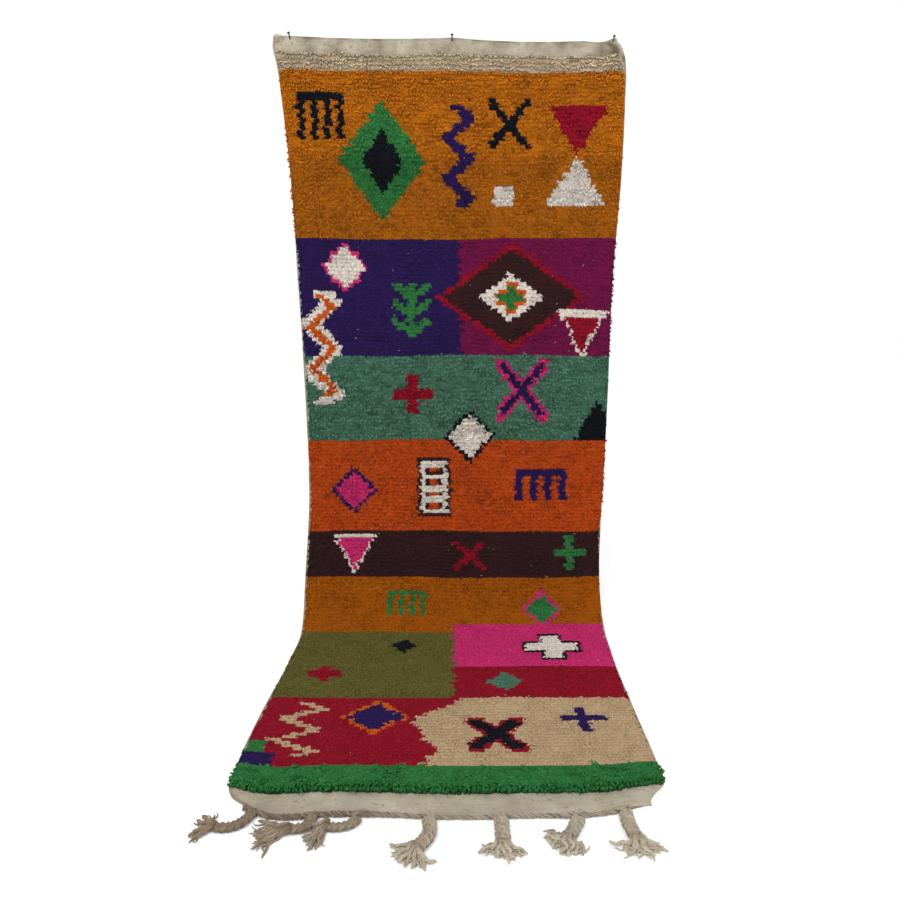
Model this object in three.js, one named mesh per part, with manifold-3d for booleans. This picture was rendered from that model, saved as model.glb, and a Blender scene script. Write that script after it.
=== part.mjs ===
// A hand-knotted wool runner from the High Atlas, hung by three nails along its top edge.
// It falls flat down the wall, sweeps out in one soft curve at the foot and lies forward over the floor.
// The rug is one cloth: bare plain weave at both ends, knotted pile between them, narrow bare selvedges.
// Its warp ends are plaited into a twisted cord along the bottom hem and gathered into seven braids,
// each of which ends in a loose tuft that rests on the floor.
// Millimetres. +Z is up, +X is to the right, and the face of the rug looks towards -Y.
// The origin is where the middle nail enters the wall; the wall is the plane y = 0.

import * as THREE from "three";
import { mergeVertices } from "three/addons/utils/BufferGeometryUtils.js";
import Module from "manifold-3d";

const wasm = await Module();
wasm.setup();

// How it hangs
const NAIL_HEIGHT = 1826;
const EDGE_ABOVE_NAIL = 9;
const SWEEP_REACH = 250;
const SWEEP_RISE = 440;
const CLOTH_LENGTH = 2745;
const CLEARANCE = 0.35;

// The cloth
const WEAVE = 4;
const LUMP = 1.3;
const LONGEST_STEP = 48;
const SWEEP_STEP = 32;
const TOP_SAG_FADE = 320;
const HEM_EASE = 330;

// Outline of the cloth, from the top edge down: the two sides draw in and out as woven.
const SIDES = [
  { along: 0, left: -534, right: 492 },
  { along: 30, left: -537, right: 508 },
  { along: 75, left: -528, right: 523 },
  { along: 170, left: -518, right: 527 },
  { along: 400, left: -501, right: 526 },
  { along: 700, left: -492, right: 514 },
  { along: 1100, left: -483, right: 515 },
  { along: 1400, left: -484, right: 513 },
  { along: 1700, left: -497, right: 501 },
  { along: 1950, left: -488, right: 496 },
  { along: 2120, left: -493, right: 488 },
  { along: 2380, left: -507, right: 486 },
  { along: 2610, left: -510, right: 485 },
  { along: 2680, left: -506, right: 480 },
  { along: 2715, left: -488, right: 451 },
  { along: 2745, left: -456, right: 435 },
];

// Full thickness of weave and pile along the cloth.
const THICKNESS = [
  { along: 0, thick: WEAVE },
  { along: 38, thick: WEAVE },
  { along: 47, thick: 12 },
  { along: 90, thick: 13 },
  { along: 102, thick: 16 },
  { along: 570, thick: 16 },
  { along: 582, thick: 13 },
  { along: 945, thick: 13 },
  { along: 957, thick: 15 },
  { along: 1230, thick: 14 },
  { along: 2600, thick: 13 },
  { along: 2616, thick: 23 },
  { along: 2682, thick: 22 },
  { along: 2694, thick: WEAVE },
  { along: CLOTH_LENGTH, thick: WEAVE },
];

// How far each place along the hem stops short of the full length, from the left corner to the right.
const HEM = [
  { across: 0, short: 24 },
  { across: 0.08, short: 1 },
  { across: 0.22, short: 9 },
  { across: 0.34, short: 8 },
  { across: 0.5, short: 0 },
  { across: 0.7, short: 4 },
  { across: 0.85, short: 8 },
  { across: 1, short: 36 },
];

// Columns of the cloth's mesh, as shares of its width. The outer ones are the bare selvedges.
const SELVEDGE_SHARE = 0.009;
const INNER_COLUMNS = 17;

// The nails: place across, how far below the middle one, and how far the top edge sags before the next.
const NAILS = [
  { name: "nail_left", x: -485, below: -5, sag: 6 },
  { name: "nail_middle", x: 0, below: 0, sag: 10 },
  { name: "nail_right", x: 482, below: 4, sag: 0 },
];
const NAIL_RADIUS = 1.8;
const NAIL_HEAD_RADIUS = 4;
const NAIL_HEAD_THICK = 1.6;
const NAIL_LENGTH = 24;
const NAIL_TILT = THREE.MathUtils.degToRad(32);

// The twisted cord along the hem
const CORD_RADIUS = 8.4;
const CORD_LOBES = 3;
const CORD_RELIEF = 1.3;
const CORD_PITCH = 54;
const CORD_SIDES = 9;
const CORD_STEP = 10;

// The braids
const BRAID_HALF_WIDTH = 15.5;
const BRAID_HALF_HEIGHT = 10.5;
const BRAID_PITCH = 34;
const BRAID_RELIEF = 0.13;
const BRAID_SIDES = 10;
const BRAID_STEP = 5.7;

// Each braid from left to right: where it leaves the hem, its heading there and after its turn (0 is
// straight out from the hem, positive swings to the left), the share of its length over which it turns,
// its length, and the tuft's heading, spread and length.
const BRAIDS = [
  { x: -425, from: 20, to: 104, turn: 1, length: 94, tuft: 94, spread: 48, reach: 50, strands: 12 },
  { x: -301, from: -6, to: 84, turn: 0.8, length: 68, tuft: 74, spread: 18, reach: 84, strands: 11 },
  { x: -198, from: 44, to: 94, turn: 0.9, length: 74, tuft: 34, spread: 20, reach: 64, strands: 9 },
  { x: -51, from: -12, to: 42, turn: 1, length: 94, tuft: 28, spread: 52, reach: 48, strands: 12 },
  { x: 100, from: -5, to: 6, turn: 1, length: 78, tuft: 6, spread: 72, reach: 42, strands: 12 },
  { x: 266, from: 26, to: 36, turn: 1, length: 66, tuft: 38, spread: 72, reach: 42, strands: 12 },
  { x: 366, from: 6, to: -14, turn: 1, length: 82, tuft: -8, spread: 66, reach: 50, strands: 12 },
];
const STRAND_ROOT = 3.2;
const STRAND_TIP = 1.9;
const STRAND_SIDES = 4;
const STRAND_STEPS = 3;
const STRAND_OVERLAP = 9;

const { clamp, degToRad, lerp, smoothstep } = THREE.MathUtils;

// A smooth curve through one or more columns of a table.
function curveThrough(rows, key, columns) {
  const values = rows.flatMap((row) => columns.map((column) => row[column]));
  return new THREE.CubicInterpolant(rows.map((row) => row[key]), values, columns.length);
}

const sides = curveThrough(SIDES, "along", ["left", "right"]);
const hem = curveThrough(HEM, "across", ["short"]);
const thickness = new THREE.LinearInterpolant(
  THICKNESS.map((row) => row.along),
  THICKNESS.map((row) => row.thick),
  1,
);

// The line on which the back of the cloth hangs and lies, seen from the side as (y, z).
const sweepTop = -(NAIL_HEIGHT - SWEEP_RISE);
const hang = new THREE.CurvePath();
hang.add(new THREE.LineCurve(new THREE.Vector2(0, EDGE_ABOVE_NAIL), new THREE.Vector2(0, sweepTop)));
hang.add(new THREE.EllipseCurve(-SWEEP_REACH, sweepTop, SWEEP_REACH, SWEEP_RISE, 0, -Math.PI / 2, true));
const wallRun = EDGE_ABOVE_NAIL - sweepTop;
const sweepRun = hang.curves[1].getLength();
const floorRun = CLOTH_LENGTH - wallRun - sweepRun;
hang.add(
  new THREE.LineCurve(
    new THREE.Vector2(-SWEEP_REACH, -NAIL_HEIGHT),
    new THREE.Vector2(-SWEEP_REACH - floorRun, -NAIL_HEIGHT),
  ),
);

// How far the top edge hangs below its height at the middle nail.
function topSag(x) {
  const last = NAILS.length - 1;
  if (x <= NAILS[0].x) return NAILS[0].below;
  if (x >= NAILS[last].x) return NAILS[last].below;
  const i = x < NAILS[1].x ? 0 : 1;
  const share = (x - NAILS[i].x) / (NAILS[i + 1].x - NAILS[i].x);
  return lerp(NAILS[i].below, NAILS[i + 1].below, share) + 4 * NAILS[i].sag * share * (1 - share);
}

// Soft unevenness of the pile, the same at every build.
function lump(x, along) {
  return (
    0.5 * Math.sin(x / 37 + 1.7 * Math.sin(along / 61)) +
    0.5 * Math.sin(along / 43 + 1.3 * Math.sin(x / 53 + 0.8))
  );
}

// A point of the cloth: share of its width, place along it, and whether it is on the face or the back.
function clothPoint(across, along, onFace) {
  const [left, right] = sides.evaluate(along);
  const x = lerp(left, right, across);
  const [short] = hem.evaluate(across);
  const eased = along - short * smoothstep(along, CLOTH_LENGTH - HEM_EASE, CLOTH_LENGTH);
  const share = clamp(eased / CLOTH_LENGTH, 0, 1);
  const base = hang.getPoint(share);
  const tangent = hang.getTangent(share);
  let depth = 0;
  if (onFace) {
    const bare = across < SELVEDGE_SHARE / 2 || across > 1 - SELVEDGE_SHARE / 2;
    const full = bare ? WEAVE : thickness.evaluate(along)[0];
    depth = full + (full > WEAVE ? LUMP * lump(x, along) : 0);
  }
  const drop = topSag(x) * Math.max(0, 1 - along / TOP_SAG_FADE) ** 2;
  return new THREE.Vector3(x, base.x + tangent.y * depth, base.y - tangent.x * depth - drop);
}

// Places along the cloth where its mesh has a row: each change of thickness, and even steps between.
function clothRows() {
  const marks = new Set([...THICKNESS, ...SIDES].map((row) => row.along));
  marks.add(wallRun);
  marks.add(wallRun + sweepRun);
  const sorted = [...marks].sort((a, b) => a - b);
  const rows = [sorted[0]];
  for (const mark of sorted.slice(1)) {
    const start = rows[rows.length - 1];
    const inSweep = mark > wallRun && start < wallRun + sweepRun;
    const count = Math.ceil((mark - start) / (inSweep ? SWEEP_STEP : LONGEST_STEP));
    for (let i = 1; i <= count; i++) rows.push(lerp(start, mark, i / count));
  }
  return rows;
}

function clothColumns() {
  const inner = Array.from({ length: INNER_COLUMNS + 1 }, (_, i) =>
    lerp(SELVEDGE_SHARE, 1 - SELVEDGE_SHARE, i / INNER_COLUMNS),
  );
  return [0, ...inner, 1];
}

// Keeps only the positions of a geometry, with its shared corners merged.
function welded(geometry) {
  geometry.deleteAttribute("normal");
  geometry.deleteAttribute("uv");
  return mergeVertices(geometry, 1e-3);
}

function toSolid(geometry) {
  const merged = welded(geometry);
  return new wasm.Manifold(
    new wasm.Mesh({
      numProp: 3,
      vertProperties: new Float32Array(merged.attributes.position.array),
      triVerts: new Uint32Array(merged.index.array),
    }),
  );
}

function toGeometry(solid) {
  const mesh = solid.getMesh();
  const geometry = new THREE.BufferGeometry();
  geometry.setAttribute("position", new THREE.BufferAttribute(mesh.vertProperties, 3));
  geometry.setIndex(new THREE.BufferAttribute(mesh.triVerts, 1));
  geometry.computeVertexNormals();
  return geometry;
}

// The whole cloth as one bent slab: a box with a row and a column for each table entry.
function clothSlab() {
  const rows = clothRows();
  const columns = clothColumns();
  const slab = new THREE.BoxGeometry(1, 1, 1, columns.length - 1, rows.length - 1, 1);
  const position = slab.attributes.position;
  for (let i = 0; i < position.count; i++) {
    const column = Math.round((position.getX(i) + 0.5) * (columns.length - 1));
    const row = Math.round((0.5 - position.getY(i)) * (rows.length - 1));
    const point = clothPoint(columns[column], rows[row], position.getZ(i) > 0);
    position.setXYZ(i, point.x, point.y, point.z);
  }
  return slab;
}

// A nail's profile turned about its own axis, from its root at the wall to its head.
function nailGeometry(radius, headRadius) {
  const profile = [
    new THREE.Vector2(0, 0),
    new THREE.Vector2(radius, 0),
    new THREE.Vector2(radius, NAIL_LENGTH - NAIL_HEAD_THICK),
    new THREE.Vector2(headRadius, NAIL_LENGTH - NAIL_HEAD_THICK),
    new THREE.Vector2(headRadius, NAIL_LENGTH),
    new THREE.Vector2(0, NAIL_LENGTH),
  ];
  return new THREE.LatheGeometry(profile, 10);
}

// Turns a shape made along +Y so that it leaves the wall forwards and upwards at the nail's tilt.
function placeNail(object, nail) {
  object.rotation.x = Math.PI - NAIL_TILT;
  object.position.set(nail.x, -NAIL_RADIUS * Math.sin(NAIL_TILT), -nail.below);
  object.updateMatrix();
}

function buildRug() {
  let solid = toSolid(clothSlab());
  for (const nail of NAILS) {
    const bore = new THREE.CylinderGeometry(
      NAIL_RADIUS + CLEARANCE,
      NAIL_RADIUS + CLEARANCE,
      NAIL_LENGTH,
      10,
    );
    const placer = new THREE.Object3D();
    placeNail(placer, nail);
    bore.applyMatrix4(placer.matrix);
    solid = solid.subtract(toSolid(bore));
  }
  return toGeometry(solid);
}

// A solid swept along the floor: frameAt(share) gives the centre and the heading,
// and sectionAt(angle, share) gives how far the skin lies sideways and upwards from the centre.
function sweptSolid(sidesCount, steps, frameAt, sectionAt) {
  const tube = new THREE.CylinderGeometry(1, 1, 1, sidesCount, steps);
  const position = tube.attributes.position;
  for (let i = 0; i < position.count; i++) {
    const share = position.getY(i) + 0.5;
    const { centre, heading } = frameAt(share);
    const sideways = new THREE.Vector3(-Math.cos(heading), Math.sin(heading), 0);
    const flat = new THREE.Vector2(position.getX(i), position.getZ(i));
    const skin = flat.length() > 0.5 ? sectionAt(Math.atan2(flat.y, flat.x), share) : [0, 0];
    const point = centre.clone().addScaledVector(sideways, skin[0]);
    position.setXYZ(i, point.x, point.y, point.z + skin[1]);
  }
  return tube;
}

// The middle of the hem cord at a share of the hem.
function hemPoint(share) {
  const edge = clothPoint(share, CLOTH_LENGTH, false);
  const out = CORD_RADIUS + CORD_RELIEF + CLEARANCE;
  return new THREE.Vector3(edge.x, edge.y - out, -NAIL_HEIGHT + CORD_RADIUS + CORD_RELIEF);
}

// The heading that points straight out from the hem there.
function hemHeading(share) {
  const ahead = hemPoint(Math.min(1, share + 0.01)).sub(hemPoint(Math.max(0, share - 0.01)));
  return Math.atan2(-ahead.y, ahead.x);
}

function buildHemCord() {
  const length = hemPoint(0).distanceTo(hemPoint(1));
  const frameAt = (share) => ({ centre: hemPoint(share), heading: hemHeading(share) - Math.PI / 2 });
  const sectionAt = (angle, share) => {
    const twist = (2 * Math.PI * share * length) / CORD_PITCH;
    const radius = CORD_RADIUS + CORD_RELIEF * Math.cos(CORD_LOBES * angle + twist);
    return [radius * Math.cos(angle), radius * Math.sin(angle)];
  };
  return sweptSolid(CORD_SIDES, Math.round(length / CORD_STEP), frameAt, sectionAt);
}

// The direction on the floor of a heading in radians: 0 is straight out, positive swings left.
function direction(heading) {
  return new THREE.Vector3(-Math.sin(heading), -Math.cos(heading), 0);
}

// Height of a plait's skin against its mean: two rows of slanting ridges that meet in a V.
function plaitRidge(side, along) {
  const slant = (2 * Math.PI * along) / BRAID_PITCH - 2.2 * Math.abs(side);
  const rightHand = smoothstep(side, -0.25, 0.25);
  return Math.cos(slant) * (1 - 2 * rightHand);
}

// The centre line of a braid: it turns from its first heading to its last, then runs straight on.
function braidLine(braid, root) {
  const headingAt = (share) =>
    degToRad(lerp(braid.from, braid.to, smoothstep(share, 0, braid.turn)));
  const samples = 24;
  const points = [root.clone()];
  for (let i = 0; i < samples; i++) {
    const step = direction(headingAt((i + 0.5) / samples));
    points.push(points[i].clone().addScaledVector(step, braid.length / samples));
  }
  const line = new THREE.CatmullRomCurve3(points);
  return (share) => ({ centre: line.getPointAt(share), heading: headingAt(share) });
}

function braidBody(braid, frameAt) {
  const sectionAt = (angle, share) => {
    const ridge = 1 + BRAID_RELIEF * plaitRidge(Math.cos(angle), share * braid.length);
    const ends = 0.86 + 0.14 * smoothstep(Math.min(share, 1 - share), 0, 0.12);
    const up = BRAID_HALF_HEIGHT * ends * ridge * Math.sin(angle);
    return [BRAID_HALF_WIDTH * ends * ridge * Math.cos(angle), Math.max(up, -BRAID_HALF_HEIGHT)];
  };
  return sweptSolid(BRAID_SIDES, Math.round(braid.length / BRAID_STEP), frameAt, sectionAt);
}

// One strand of a tuft: it leaves the end of the braid and comes down to rest level on the floor.
function tuftStrand(braid, end, index) {
  const place = (2 * index) / (braid.strands - 1) - 1;
  const wobble = Math.sin(index * 2.4 + braid.x);
  const heading = degToRad(braid.tuft + braid.spread * place);
  const length = braid.reach * (0.88 + 0.14 * wobble) + STRAND_OVERLAP;
  const sideways = direction(end.heading + Math.PI / 2);
  const root = end.centre
    .clone()
    .addScaledVector(direction(end.heading), -STRAND_OVERLAP)
    .addScaledVector(sideways, place * BRAID_HALF_WIDTH * 0.6);
  const curl = degToRad(14) * wobble;
  const frameAt = (share) => {
    const centre = root.clone().addScaledVector(direction(heading + curl * share), length * share);
    const radius = lerp(STRAND_ROOT, STRAND_TIP, share);
    const lifted = lerp(BRAID_HALF_HEIGHT * 0.8, radius, smoothstep(share, 0, 0.66));
    centre.z = -NAIL_HEIGHT + lifted;
    return { centre, heading: heading + curl * share };
  };
  const sectionAt = (angle, share) => {
    const radius = lerp(STRAND_ROOT, STRAND_TIP, share);
    const turned = angle + Math.PI / STRAND_SIDES;
    return [radius * Math.SQRT2 * Math.cos(turned), radius * Math.SQRT2 * Math.sin(turned)];
  };
  return sweptSolid(STRAND_SIDES, STRAND_STEPS, frameAt, sectionAt);
}

// Where a braid leaves the hem cord, far enough out that its square end clears the cord.
function braidRoot(braid) {
  const left = hemPoint(0).x;
  const right = hemPoint(1).x;
  const share = (braid.x - left) / (right - left);
  const slope = hemHeading(share);
  const lean = Math.abs(Math.sin(degToRad(braid.from) - slope));
  const out = CORD_RADIUS + CORD_RELIEF + 2 * CLEARANCE + BRAID_HALF_WIDTH * lean;
  const root = hemPoint(share).addScaledVector(direction(slope), out);
  root.z = -NAIL_HEIGHT + BRAID_HALF_HEIGHT;
  return root;
}

function buildBraid(braid) {
  const frameAt = braidLine(braid, braidRoot(braid));
  let solid = toSolid(braidBody(braid, frameAt));
  const end = frameAt(1);
  for (let i = 0; i < braid.strands; i++) solid = solid.add(toSolid(tuftStrand(braid, end, i)));
  return toGeometry(solid);
}

function named(name, geometry, material) {
  const mesh = new THREE.Mesh(geometry, material);
  mesh.name = name;
  return mesh;
}

const wool = new THREE.MeshStandardMaterial({ color: 0xa8621a, roughness: 0.95, metalness: 0 });
const warp = new THREE.MeshStandardMaterial({ color: 0xb3a88f, roughness: 0.9, metalness: 0 });
const steel = new THREE.MeshStandardMaterial({ color: 0x3a3a3d, roughness: 0.45, metalness: 0.8 });

const runner = new THREE.Group();
runner.add(named("rug", buildRug(), wool));
runner.add(named("hem_cord", buildHemCord(), warp));
BRAIDS.forEach((braid, i) => runner.add(named(`braid_${i + 1}`, buildBraid(braid), warp)));
for (const nail of NAILS) {
  const mesh = named(nail.name, nailGeometry(NAIL_RADIUS, NAIL_HEAD_RADIUS), steel);
  placeNail(mesh, nail);
  runner.add(mesh);
}

export default runner;
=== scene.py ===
# A hand-knotted wool runner from the High Atlas, hung by three nails and trailing out over the floor.
# The weave is one sheet. Every knot of the pile is two locks of yarn, the bottom warp ends are plaited
# into a cord and seven braids, and each braid ends in a loose tuft.
# Tables that describe the cloth are in millimetres, as a weaver would measure it. All else is in metres.

import math
from collections import namedtuple

import bpy
import numpy as np
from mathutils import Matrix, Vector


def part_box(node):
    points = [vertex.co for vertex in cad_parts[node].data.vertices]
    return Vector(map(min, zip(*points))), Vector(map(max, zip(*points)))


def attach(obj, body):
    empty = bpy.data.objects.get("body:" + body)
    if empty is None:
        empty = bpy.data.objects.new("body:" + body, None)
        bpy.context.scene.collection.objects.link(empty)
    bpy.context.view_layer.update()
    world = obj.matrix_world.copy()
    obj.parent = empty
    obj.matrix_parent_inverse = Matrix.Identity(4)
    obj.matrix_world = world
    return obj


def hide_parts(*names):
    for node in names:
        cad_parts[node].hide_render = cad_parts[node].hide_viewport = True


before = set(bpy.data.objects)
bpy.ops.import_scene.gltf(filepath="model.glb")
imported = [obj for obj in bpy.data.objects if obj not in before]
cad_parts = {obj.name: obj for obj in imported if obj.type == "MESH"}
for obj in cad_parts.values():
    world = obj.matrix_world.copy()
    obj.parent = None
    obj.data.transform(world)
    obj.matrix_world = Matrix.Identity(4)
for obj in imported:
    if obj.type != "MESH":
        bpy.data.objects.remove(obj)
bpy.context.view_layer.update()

MM = 0.001
FLOOR_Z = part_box("rug")[0][2]

# How the cloth hangs
NAIL_HEIGHT = -FLOOR_Z
EDGE_ABOVE_NAIL = 9 * MM
SWEEP_REACH = 250 * MM
SWEEP_RISE = 440 * MM
CLOTH_LENGTH = 2745 * MM
HEM_LAP = 8 * MM
SHEET_LENGTH = CLOTH_LENGTH + HEM_LAP
TOP_SAG_FADE = 320 * MM
HEM_EASE = 330 * MM

Side = namedtuple("Side", "along left right")
SIDES = [
    Side(0, -534, 492),
    Side(30, -537, 508),
    Side(75, -528, 523),
    Side(170, -518, 527),
    Side(400, -501, 526),
    Side(700, -492, 514),
    Side(1100, -483, 515),
    Side(1400, -484, 513),
    Side(1700, -497, 501),
    Side(1950, -488, 496),
    Side(2120, -493, 488),
    Side(2380, -507, 486),
    Side(2610, -510, 485),
    Side(2680, -506, 480),
    Side(2715, -488, 451),
    Side(2745, -456, 435),
]

# How far the hem stops short of the full length, by share of the width
Hem = namedtuple("Hem", "across short")
HEM = [
    Hem(0, 24),
    Hem(0.08, 1),
    Hem(0.22, 9),
    Hem(0.34, 8),
    Hem(0.5, 0),
    Hem(0.7, 4),
    Hem(0.85, 8),
    Hem(1, 36),
]

# Where the nails are, how far below the middle one, and how far the edge sags before the next
Nail = namedtuple("Nail", "name x below sag")
NAILS = [
    Nail("nail_left", -485, -5, 6),
    Nail("nail_middle", 0, 0, 10),
    Nail("nail_right", 482, 4, 0),
]

# Beside the right nail the edge dips, and at the nail it is pulled up
Pull = namedtuple("Pull", "x width high")
DIP_BESIDE_PEAK = Pull(442, 32, 6)
PEAK_AT_NAIL = Pull(484, 12, 3.5)

# The weave and its knots
WEAVE_THICK = 3.4 * MM
WEFT_PITCH = 2.6 * MM
WEFT_RELIEF = 0.3 * MM
WARP_PITCH = 5 * MM
ROW_PITCH = 12.2 * MM
PILE_START = 43 * MM
PILE_END = 2690 * MM
KNOT_ROWS = round((PILE_END - PILE_START) / ROW_PITCH)
KNOT_COLUMNS = 152
PILE_MARGIN = 0.0085
LOCKS_A_KNOT = 2
LOCK_POINTS = 7

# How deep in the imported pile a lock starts, and how near the weave's back that may be
FOOT_DEPTH = 1.6 * MM
LOWEST_FOOT = 3.2 * MM

# The locks of a row fall into clumps that lean, stray and shift together
Clump = namedtuple("Clump", "number lift stray shift tone hollow")

# Pile along the cloth: height over the weave, how far a lock lies over, its thickness and its curl,
# how far to either side locks stray in degrees, how much neighbours mat together, how high the tip is,
# how tousled the rows are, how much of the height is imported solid, and how light the wool is
Pile = namedtuple("Pile", "start height lean radius curl stray mat tip rough bed shade")
PILE_LENGTHS = ("start", "height", "lean", "radius", "curl")
PILE = [
    Pile(0, 10.5, 8.5, 2.6, 2.0, 62, 0.45, 0.6, 0.9, 0.36, 0.97),
    Pile(94, 12.5, 14.0, 2.7, 1.7, 48, 0.55, 0.74, 0.85, 0.58, 1.17),
    Pile(340, 12.0, 15.0, 2.8, 1.6, 52, 0.4, 0.82, 0.7, 0.68, 0.88),
    Pile(575, 9.5, 14.0, 3.4, 1.0, 44, 0.1, 0.84, 0.4, 0.68, 1),
    Pile(949, 10.5, 14.0, 2.8, 1.6, 48, 0.25, 0.78, 1.6, 0.6, 1.02),
    Pile(1230, 10.5, 14.0, 3.1, 1.1, 48, 0.2, 0.82, 0.55, 0.68, 1),
    Pile(1543, 10.0, 14.0, 3.4, 1.0, 44, 0.1, 0.84, 0.4, 0.7, 0.97),
    Pile(1705, 10.5, 14.0, 3.3, 1.0, 46, 0.1, 0.86, 0.4, 0.74, 1),
    Pile(1900, 9.5, 14.0, 3.4, 0.9, 48, 0.05, 0.94, 0.15, 0.86, 0.98),
    Pile(2302, 9.5, 14.0, 3.4, 0.9, 50, 0.05, 0.95, 0.12, 0.88, 0.98),
    Pile(2605, 17.0, 17.0, 2.5, 2.0, 66, 0.3, 0.84, 0.42, 0.86, 0.98),
]

# How far the outermost locks reach past each side of the cloth. Where negative, the edge warps show.
Cover = namedtuple("Cover", "along left right")
COVERS = [
    Cover(40, -4, -4),
    Cover(110, -1.5, -2),
    Cover(300, 2, -1),
    Cover(450, 5, 0),
    Cover(560, 2, 1),
    Cover(600, -1, 3),
    Cover(930, -2, 3),
    Cover(960, -3, 1),
    Cover(1200, -3, 1),
    Cover(1260, -1, 2),
    Cover(1420, -5, 3),
    Cover(1560, -3, -3),
    Cover(1720, -4, 1),
    Cover(1880, -4, -3),
    Cover(2100, -2, -3),
    Cover(2580, -1, 0),
    Cover(2620, 3, 3),
    Cover(2690, 2, 3),
]

# The pile is made in pieces, each a few bands long
PILE_PIECES = [
    ("pile_cream", 0),
    ("pile_ochre", 94),
    ("pile_ochre_lower", 340),
    ("pile_purple", 575),
    ("pile_teal", 949),
    ("pile_rust", 1230),
    ("pile_brown", 1543),
    ("pile_amber", 1705),
    ("pile_olive_pink", 1900),
    ("pile_crimson_beige", 2302),
    ("pile_green", 2605),
]

# Yarn colours, as seen in soft daylight
YARNS = {
    "cream": (183, 165, 137),
    "ochre": (164, 93, 11),
    "purple": (39, 22, 75),
    "plum": (105, 16, 64),
    "teal": (71, 111, 90),
    "rust": (172, 67, 17),
    "brown": (50, 26, 28),
    "amber": (149, 78, 4),
    "olive": (91, 86, 38),
    "pink": (188, 42, 104),
    "crimson": (134, 12, 34),
    "beige": (173, 148, 116),
    "green": (44, 109, 55),
    "white": (207, 198, 188),
    "black": (13, 17, 24),
    "orange": (186, 82, 14),
}
YARN_NAMES = list(YARNS)
PILE_TONES = (0.6, 1.4)
WARP_COLOUR = (166, 158, 138)
# Greyed warp, also the colour of the painted shade in the top right corner's crease
WARP_WORN_AND_SHADE = (100, 88, 70)
FLECK_COLOUR = (92, 74, 52)
YARN_CLEAN = (168, 158, 138)
YARN_GREYED = (124, 108, 90)
# Colour of the painted shade at the roots of yarns and under them
YARN_ROOT_SHADE = (84, 68, 50)
STEEL_COLOUR = (44, 44, 50)
RUST_COLOUR = (84, 52, 34)
FLOOR_COLOUR = (255, 255, 255)

# Bands and blocks of plain colour. Where a band is split, right is the yarn to the right of the split,
# which is a line through places given as along and x.
Band = namedtuple("Band", "start end left right split", defaults=(None, None))
MIDDLE = ((0, 6), (2745, 6))
BANDS = [
    Band(0, 94, "cream"),
    Band(94, 575, "ochre"),
    Band(575, 949, "purple", "plum", ((575, 22), (949, 30))),
    Band(949, 1230, "teal"),
    Band(1230, 1543, "rust"),
    Band(1543, 1705, "brown"),
    Band(1705, 1912, "amber"),
    Band(1912, 2302, "olive"),
    Band(1875, 2130, None, "pink", MIDDLE),
    Band(2130, 2302, None, "crimson", MIDDLE),
    Band(
        2302, 2605, "crimson", "beige",
        ((2302, 21), (2330, 3), (2400, -104), (2483, -67), (2533, -36), (2580, -68), (2605, -74)),
    ),
    Band(2605, 2700, "green"),
]

# Signs of the kinds that weavers of the region share, in rug coordinates: middle along and across,
# then length, width and the thickness of a stroke. A rim is a wider sign of the same kind behind it.
Sign = namedtuple("Sign", "kind along x length width stroke yarn rim rim_wide", defaults=(None, 0))
SIGNS = [
    Sign("comb", 220, -400, 130, 140, 26, "black"),
    Sign("lozenge", 350, -215, 350, 270, 0, "green"),
    Sign("lozenge", 350, -215, 190, 130, 0, "black"),
    Sign("zigzag", 340, 20, 290, 110, 44, "purple"),
    Sign("saltire", 240, 175, 150, 130, 32, "black"),
    Sign("block", 455, 160, 62, 60, 0, "white"),
    Sign("triangle", 260, 385, 150, 190, 0, "crimson"),
    Sign("pyramid", 410, 385, 150, 190, 0, "white"),
    Sign("lozenge", 762, 190, 300, 440, 0, "brown", "crimson", 15),
    Sign("lozenge", 762, 190, 150, 210, 0, "white"),
    Sign("cross", 762, 190, 74, 84, 26, "green", "orange", 5),
    Sign("star", 665, -340, 130, 130, 0, "white", "pink", 8),
    Sign("fishbone", 800, -130, 170, 120, 26, "green"),
    Sign("zigzag", 920, -420, 330, 100, 30, "orange", "white", 20),
    Sign("triangle", 880, 420, 120, 120, 0, "crimson", "white", 16),
    Sign("cross", 1070, -130, 130, 130, 40, "crimson"),
    Sign("saltire", 1060, 230, 170, 140, 30, "purple", "pink", 16),
    Sign("pyramid", 1160, 480, 130, 150, 0, "black"),
    Sign("lozenge", 1215, 60, 150, 150, 0, "white", "black", 9),
    Sign("lozenge", 1400, -330, 130, 130, 0, "pink", "purple", 10),
    Sign("ladder", 1395, -60, 180, 90, 18, "white", "brown", 12),
    Sign("comb", 1380, 300, 110, 170, 26, "purple"),
    Sign("triangle", 1625, -330, 110, 120, 0, "pink", "white", 14),
    Sign("saltire", 1625, 60, 100, 110, 28, "crimson"),
    Sign("cross", 1620, 400, 120, 110, 28, "green"),
    Sign("comb", 1790, -150, 86, 130, 22, "green"),
    Sign("lozenge", 1815, 300, 110, 110, 0, "green", "pink", 8),
    Sign("lozenge", 2000, -150, 90, 84, 0, "black"),
    Sign("cross", 2170, -370, 90, 100, 34, "crimson"),
    Sign("cross", 2005, 310, 140, 160, 54, "white", "black", 10),
    Sign("lozenge", 2215, 150, 100, 110, 0, "teal"),
    Sign("lozenge", 2390, -200, 130, 150, 0, "purple", "orange", 8),
    Sign("zigzag", 2445, -390, 230, 140, 40, "beige"),
    Sign("cross", 2400, 340, 110, 120, 26, "purple"),
    Sign("saltire", 2470, 110, 130, 130, 46, "black", "crimson", 9),
    Sign("block", 2516, -500, 50, 80, 0, "green"),
    Sign("block", 2573, -490, 64, 130, 0, "purple"),
]
ZIGZAG_TURNS = 2.5
COMB_TEETH = 4
LADDER_RUNGS = 5
FISHBONES = 3
STAR_BODY = 0.62

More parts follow.
